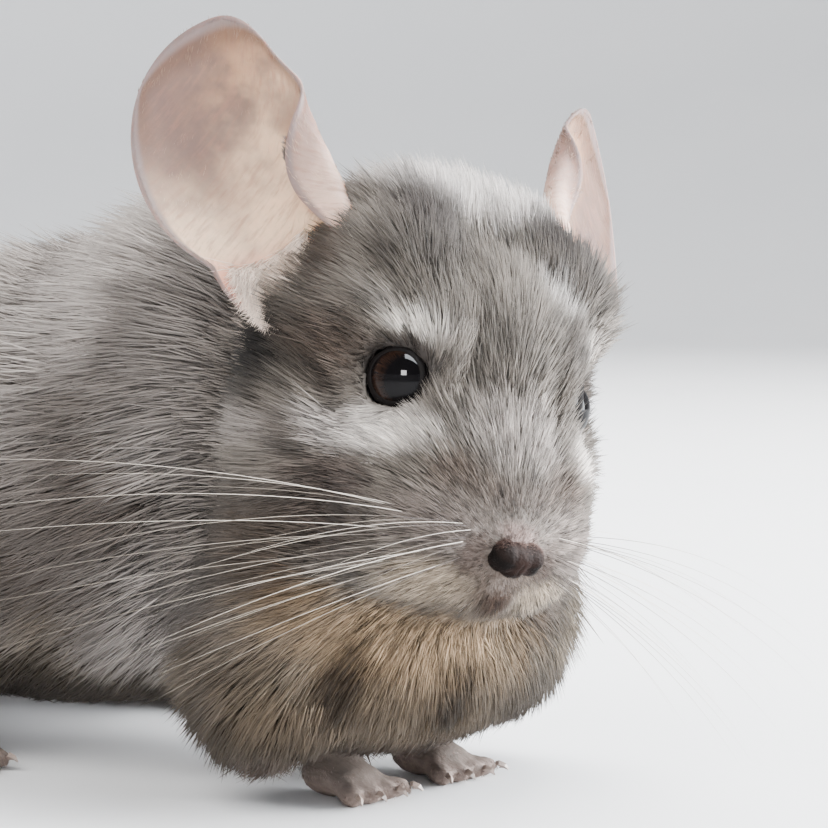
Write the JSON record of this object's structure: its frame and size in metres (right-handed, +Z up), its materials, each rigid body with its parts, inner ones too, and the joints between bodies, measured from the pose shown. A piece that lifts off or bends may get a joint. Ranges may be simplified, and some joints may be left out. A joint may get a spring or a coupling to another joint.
{
  "type": "chinchilla",
  "caption": "Life-size grey chinchilla standing on all fours with its head turned, large round ears, long whiskers and a bushy tail.",
  "frame": {"origin": "on the floor, below the middle of the box round the whole animal", "axes": "the animal looks towards -Y, +X is to its left side and +Z is up"},
  "size_m": [0.1658, 0.3422, 0.1339],
  "materials": {
    "coat": "dense soft grey fur",
    "pale_coat": "short pale fur",
    "ear_skin": "thin bare skin with fine down",
    "foot_skin": "thinly haired skin",
    "nose_skin": "moist bare skin",
    "eye_dark": "wet gloss",
    "horn": "satin horn"
  },
  "bodies": {
    "root": {"claw_forepaw_L_1": "horn", "claw_forepaw_L_2": "horn", "claw_forepaw_L_3": "horn", "claw_forepaw_L_4": "horn", "claw_forepaw_R_1": "horn", "claw_forepaw_R_2": "horn", "claw_forepaw_R_3": "horn", "claw_forepaw_R_4": "horn", "claw_hindfoot_L_1": "horn", "claw_hindfoot_L_2": "horn", "claw_hindfoot_L_3": "horn", "claw_hindfoot_R_1": "horn", "claw_hindfoot_R_2": "horn", "claw_hindfoot_R_3": "horn", "ear_L": "ear_skin", "ear_R": "ear_skin", "eye_L": "eye_dark", "eye_R": "eye_dark", "foreleg_L": "coat", "foreleg_R": "coat", "forepaw_L": "foot_skin", "forepaw_R": "foot_skin", "head": "coat", "hindfoot_L": "foot_skin", "hindfoot_R": "foot_skin", "lower_jaw": "pale_coat", "neck": "coat", "nose": "nose_skin", "tail_brush": "coat", "tail_root": "coat", "thigh_L": "coat", "thigh_R": "coat", "torso": "coat", "whisker_pad_L": "pale_coat", "whisker_pad_R": "pale_coat"}
  },
  "joints": []
}
